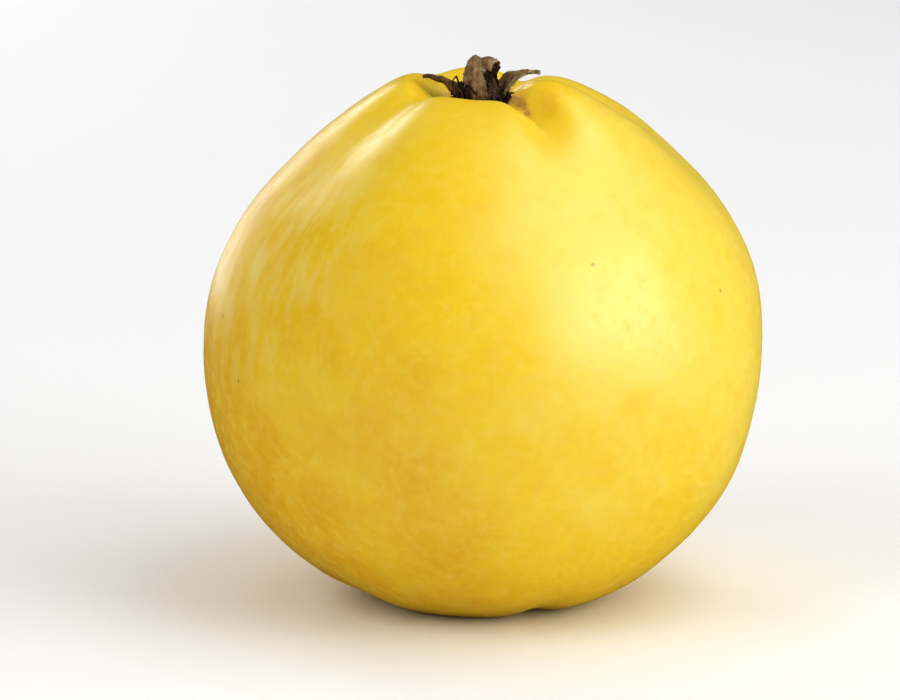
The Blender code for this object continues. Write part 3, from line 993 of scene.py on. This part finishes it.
class Nodes:
    """A new material's node tree, with short ways to add to it."""

    def __init__(self, name):
        self.material = bpy.data.materials.new(name)
        self.material.use_nodes = True
        self.tree = self.material.node_tree
        self.shader = self.tree.nodes["Principled BSDF"]
        self.place = self.new("ShaderNodeTexCoord").outputs["Object"]

    def new(self, kind, **values):
        node = self.tree.nodes.new(kind)
        for key, value in values.items():
            setattr(node, key, value)
        return node

    def link(self, value, socket):
        if isinstance(value, bpy.types.NodeSocket):
            self.tree.links.new(value, socket)
        else:
            socket.default_value = value

    def noise(self, size, detail=3.0, roughness=0.55, distortion=0.0, stretch=None, place=None):
        node = self.new("ShaderNodeTexNoise")
        place = place or self.place
        if stretch:
            mapping = self.new("ShaderNodeMapping")
            mapping.inputs["Scale"].default_value = stretch
            self.link(place, mapping.inputs["Vector"])
            place = mapping.outputs["Vector"]
        self.link(place, node.inputs["Vector"])
        node.inputs["Scale"].default_value = 1.0 / size
        node.inputs["Detail"].default_value = detail
        node.inputs["Roughness"].default_value = roughness
        node.inputs["Distortion"].default_value = distortion
        return node.outputs["Fac"]

    def spread(self, value, low, high, to_low=0.0, to_high=1.0):
        node = self.new("ShaderNodeMapRange", interpolation_type="SMOOTHSTEP")
        self.link(value, node.inputs["Value"])
        for name, number in (("From Min", low), ("From Max", high), ("To Min", to_low), ("To Max", to_high)):
            node.inputs[name].default_value = number
        return node.outputs["Result"]

    def math(self, operation, a, b=0.0):
        node = self.new("ShaderNodeMath", operation=operation)
        self.link(a, node.inputs[0])
        self.link(b, node.inputs[1])
        return node.outputs["Value"]

    def mix(self, share, a, b):
        node = self.new("ShaderNodeMix", data_type="RGBA")
        self.link(share, node.inputs[0])
        self.link(a if isinstance(a, bpy.types.NodeSocket) else (*a, 1.0), node.inputs[6])
        self.link(b if isinstance(b, bpy.types.NodeSocket) else (*b, 1.0), node.inputs[7])
        return node.outputs[2]

    def attribute(self, name, output="Fac"):
        return self.new("ShaderNodeAttribute", attribute_name=name).outputs[output]

    def bump(self, height, strength, distance, before=None):
        node = self.new("ShaderNodeBump")
        node.inputs["Strength"].default_value = strength
        node.inputs["Distance"].default_value = distance
        self.link(height, node.inputs["Height"])
        if before:
            self.link(before, node.inputs["Normal"])
        return node.outputs["Normal"]

    def finish(self, colour, roughness, normal):
        self.link(colour, self.shader.inputs["Base Color"])
        self.link(roughness, self.shader.inputs["Roughness"])
        self.link(normal, self.shader.inputs["Normal"])
        return self.material


# Small healed scars: the share of the meridian, the azimuth and the radius of each.
SCARS = (
    (0.655, -66.0, 0.50 * MM),
    (0.60, -31.0, 0.45 * MM),
    (0.47, 148.0, 0.55 * MM),
    (0.70, 60.0, 0.45 * MM),
    (0.36, 12.0, 0.50 * MM),
)


def skin_material():
    n = Nodes("quince_skin")
    drift = n.math("MULTIPLY", n.math("SUBTRACT", n.noise(16 * MM, detail=3.0), 0.5), 0.5)
    ripe_and_painted_light = n.math("ADD", n.attribute("ripe_and_painted_light"), drift)
    # Partly painted light: the pale lemon, with more blue, stands in for the right softbox's broad highlight,
    # and the deep gold for shade.
    colour = n.mix(n.spread(ripe_and_painted_light, 0.04, 0.28), (0.93, 0.70, 0.090), (0.92, 0.62, 0.008))
    colour = n.mix(n.spread(ripe_and_painted_light, 0.31, 0.60), colour, (0.86, 0.49, 0.001))
    patches = n.spread(n.noise(6 * MM, detail=4.0), 0.40, 0.64)
    colour = n.mix(n.math("MULTIPLY", patches, 0.28), colour, (0.95, 0.71, 0.045))
    golden = n.spread(n.noise(3.4 * MM, detail=4.0, roughness=0.6), 0.50, 0.72)
    colour = n.mix(n.math("MULTIPLY", golden, 0.38), colour, (0.88, 0.52, 0.004))
    mottle = n.spread(n.noise(1.7 * MM, detail=5.0, roughness=0.65), 0.40, 0.70)
    colour = n.mix(n.math("MULTIPLY", mottle, 0.22), colour, (0.95, 0.76, 0.100))
    streaks = n.noise(2.4 * MM, detail=5.0, roughness=0.68, place=n.attribute("down_streaks", "Vector"))
    clumps = n.noise(7 * MM, detail=2.0)
    tufts = n.math("ADD", n.math("MULTIPLY", streaks, 0.7), n.math("MULTIPLY", clumps, 0.5))
    down = n.math("MULTIPLY", n.spread(n.attribute("down"), 0.1, 0.8), n.spread(tufts, 0.50, 0.76))
    colour = n.mix(n.math("MULTIPLY", down, 0.55), colour, (0.90, 0.74, 0.24))
    hollows = n.math("MULTIPLY", n.attribute("down"), n.spread(tufts, 0.58, 0.44))
    colour = n.mix(n.math("MULTIPLY", hollows, 0.35), colour, (0.78, 0.52, 0.006))

    cells = n.new("ShaderNodeTexVoronoi")
    n.link(n.place, cells.inputs["Vector"])
    cells.inputs["Scale"].default_value = 1.0 / (2.6 * MM)
    chance = n.new("ShaderNodeSeparateColor")
    n.link(cells.outputs["Color"], chance.inputs["Color"])
    pale_dot = n.spread(cells.outputs["Distance"], 0.11, 0.05)
    colour = n.mix(n.math("MULTIPLY", pale_dot, 0.30), colour, (0.80, 0.56, 0.14))
    rare = n.spread(chance.outputs["Red"], 0.985, 0.99)
    speck = n.math("MULTIPLY", n.spread(cells.outputs["Distance"], 0.20, 0.06), rare)
    colour = n.mix(n.math("MULTIPLY", speck, 0.50), colour, (0.34, 0.22, 0.045))
    for share, azimuth, radius in SCARS:
        away = n.new("ShaderNodeVectorMath", operation="DISTANCE")
        n.link(n.place, away.inputs[0])
        away.inputs[1].default_value = fitted_point(on_fruit(share, azimuth))
        scar = n.spread(away.outputs["Value"], radius, 0.35 * radius)
        colour = n.mix(n.math("MULTIPLY", scar, 0.60), colour, (0.36, 0.22, 0.05))

    fibres = n.noise(0.9 * MM, detail=5.0, roughness=0.7, distortion=1.2)
    blotches = n.noise(3.2 * MM, detail=3.0)
    # Cork colour, which also paints the shade along the deep furrow's crease held in the russet attribute.
    cork_and_crease_shade = n.math("ADD", n.attribute("russet_and_crease_shade"), n.math("MULTIPLY", n.math("SUBTRACT", blotches, 0.5), 0.9))
    cork_and_crease_shade = n.spread(cork_and_crease_shade, 0.12, 0.85)
    thick_cork = n.mix(n.spread(fibres, 0.35, 0.65), (0.30, 0.14, 0.020), (0.64, 0.37, 0.065))
    cork_colour = n.mix(n.spread(cork_and_crease_shade, 0.25, 0.85), (0.80, 0.47, 0.045), thick_cork)
    colour = n.mix(n.math("MULTIPLY", cork_and_crease_shade, 0.90), colour, cork_colour)

    pores = n.noise(0.45 * MM, detail=3.0, roughness=0.6)
    grain = n.bump(pores, 0.10, 0.05 * MM)
    dots = n.bump(pale_dot, 0.25, 0.06 * MM, grain)
    corky = n.bump(n.math("MULTIPLY", fibres, cork_and_crease_shade), 0.5, 0.15 * MM, dots)
    roughness = n.math("ADD", n.spread(mottle, 0.0, 1.0, 0.34, 0.47), n.math("MULTIPLY", cork_and_crease_shade, 0.25))
    n.shader.inputs["Subsurface Weight"].default_value = 0.18
    n.shader.inputs["Subsurface Radius"].default_value = (1.0, 0.55, 0.12)
    n.shader.inputs["Subsurface Scale"].default_value = 2.5 * MM
    n.shader.inputs["Specular IOR Level"].default_value = 1.0
    n.shader.inputs["Sheen Weight"].default_value = 0.05
    n.shader.inputs["Sheen Roughness"].default_value = 0.45
    n.shader.inputs["Sheen Tint"].default_value = (1.0, 0.95, 0.75, 1.0)
    return n.finish(colour, roughness, corky)


def sepal_material():
    n = Nodes("dried_sepal")
    tone = n.attribute("tone")
    streaks = n.noise(0.7 * MM, detail=5.0, roughness=0.65, distortion=0.8)
    patches = n.spread(n.noise(1.8 * MM, detail=3.0), 0.35, 0.65)
    shade = n.math("ADD", tone, n.math("MULTIPLY", n.math("SUBTRACT", streaks, 0.5), 0.9))
    dark = n.mix(patches, (0.030, 0.012, 0.008), (0.070, 0.030, 0.014))
    tan = n.mix(patches, (0.24, 0.125, 0.045), (0.36, 0.225, 0.10))
    colour = n.mix(n.spread(shade, 0.05, 0.75), dark, tan)
    grey = n.mix(patches, (0.26, 0.25, 0.13), (0.40, 0.40, 0.27))
    colour = n.mix(n.math("MULTIPLY", n.spread(shade, 0.70, 1.05), 0.8), colour, grey)
    stains = n.spread(n.noise(1.2 * MM, detail=4.0, roughness=0.6), 0.50, 0.62)
    colour = n.mix(n.math("MULTIPLY", stains, 0.60), colour, (0.050, 0.020, 0.014))
    normal = n.bump(streaks, 0.6, 0.12 * MM, n.bump(n.noise(0.25 * MM), 0.4, 0.04 * MM))
    return n.finish(colour, n.spread(streaks, 0.3, 0.7, 0.70, 0.92), normal)


def stamen_material():
    n = Nodes("withered_stamen")
    grain = n.noise(0.4 * MM, detail=4.0)
    shade = n.math("ADD", n.attribute("tone"), n.math("MULTIPLY", n.math("SUBTRACT", grain, 0.5), 0.5))
    colour = n.mix(n.spread(shade, 0.0, 0.9), (0.022, 0.010, 0.007), (0.22, 0.12, 0.05))
    return n.finish(colour, n.spread(grain, 0.3, 0.7, 0.75, 0.95), n.bump(grain, 0.5, 0.06 * MM))


def stalk_material():
    n = Nodes("stalk_bark")
    bark = n.noise(0.9 * MM, detail=5.0, roughness=0.7, stretch=(1.0, 1.0, 0.3))
    fibre = n.noise(0.25 * MM, detail=3.0)
    colour = n.mix(n.spread(bark, 0.35, 0.68), (0.055, 0.026, 0.012), (0.24, 0.14, 0.060))
    wood = n.mix(n.spread(fibre, 0.3, 0.7), (0.30, 0.19, 0.09), (0.56, 0.42, 0.24))
    colour = n.mix(n.spread(n.attribute("tone"), 0.3, 0.8), colour, wood)
    return n.finish(colour, n.spread(bark, 0.3, 0.7, 0.72, 0.92), n.bump(bark, 0.7, 0.15 * MM))


def down_material(name, light, dark):
    n = Nodes(name)
    colour = n.mix(n.spread(n.noise(1.2 * MM), 0.35, 0.65), dark, light)
    n.link(colour, n.shader.inputs["Base Color"])
    n.shader.inputs["Roughness"].default_value = 0.85
    return n.material


def floor_material():
    n = Nodes("pale_floor")
    tint = n.mix(n.spread(n.noise(0.6, detail=2.0), 0.3, 0.7), (0.93, 0.93, 0.93), (0.95, 0.95, 0.95))
    n.link(tint, n.shader.inputs["Base Color"])
    n.shader.inputs["Roughness"].default_value = 0.9
    n.shader.inputs["Specular IOR Level"].default_value = 0.1
    return n.material


fruit.data.materials.append(skin_material())
sepals.data.materials.append(sepal_material())
stamens.data.materials.append(stamen_material())
shreds.data.materials.append(stamen_material())
stalk.data.materials.append(stalk_material())
skin_hairs.data.materials.append(down_material("down_pale", (0.80, 0.72, 0.46), (0.62, 0.48, 0.22)))
calyx_hairs.data.materials.append(down_material("down_brown", (0.52, 0.42, 0.28), (0.20, 0.12, 0.06)))

# ---- The studio -----------------------------------------------------------------------------------------

floor_mesh = bpy.data.meshes.new("pale_floor")
floor_mesh.from_pydata([(-4, -4, 0), (4, -4, 0), (4, 4, 0), (-4, 4, 0)], [], [(0, 1, 2, 3)])
floor = bpy.data.objects.new("pale_floor", floor_mesh)
bpy.context.scene.collection.objects.link(floor)
floor.data.materials.append(floor_material())

HEART = Vector((0.0, 0.0, 0.04))


def softbox(name, direction, distance, width, height, power, mirrored=True):
    light = bpy.data.lights.new(name, "AREA")
    light.shape = "RECTANGLE"
    light.size = width
    light.size_y = height
    light.energy = power
    lamp = bpy.data.objects.new(name, light)
    lamp.location = HEART + Vector(direction).normalized() * distance
    lamp.rotation_euler = (HEART - lamp.location).to_track_quat("-Z", "Y").to_euler()
    lamp.visible_glossy = mirrored
    bpy.context.scene.collection.objects.link(lamp)


softbox("right_softbox", (0.80, -0.46, 0.30), 0.9, 0.64, 0.64, 3.5)
softbox("upper_right_softbox", (0.50, -0.12, 0.86), 0.9, 0.80, 0.70, 2.2)
softbox("back_left_softbox", (-0.50, 0.85, 0.08), 0.9, 0.40, 0.30, 0.75)
softbox("upper_left_softbox", (-0.40, 0.80, 0.42), 0.9, 0.24, 0.26, 0.75)
softbox("front_fill", (-0.75, -0.50, 0.62), 1.4, 0.9, 0.9, 4.7, mirrored=False)
softbox("overhead_softbox", (0.0, 0.35, 0.94), 1.5, 1.2, 1.2, 1.9, mirrored=False)

world = bpy.data.worlds.new("studio")
bpy.context.scene.world = world
world.use_nodes = True
world.node_tree.nodes["Background"].inputs["Color"].default_value = (1.0, 1.0, 1.0, 1.0)
world.node_tree.nodes["Background"].inputs["Strength"].default_value = 0.34
world.cycles_visibility.glossy = False
floor.visible_glossy = False

CAMERA_HEIGHT = math.radians(12.5)
CAMERA_DISTANCE = 0.90
AIM = Vector((-0.0050, 0.0, 0.0378))
camera = bpy.data.objects.new("camera", bpy.data.cameras.new("camera"))
backwards = Vector((0.0, -math.cos(CAMERA_HEIGHT), math.sin(CAMERA_HEIGHT)))
camera.location = AIM + backwards * CAMERA_DISTANCE
camera.rotation_euler = (-backwards).to_track_quat("-Z", "Y").to_euler()
camera.data.sensor_width = 36.0
camera.data.lens = 237.0
camera.data.clip_start = 0.01
bpy.context.scene.collection.objects.link(camera)
bpy.context.scene.camera = camera
bpy.context.scene.view_settings.view_transform = "Standard"
bpy.context.scene.view_settings.look = "Medium High Contrast"
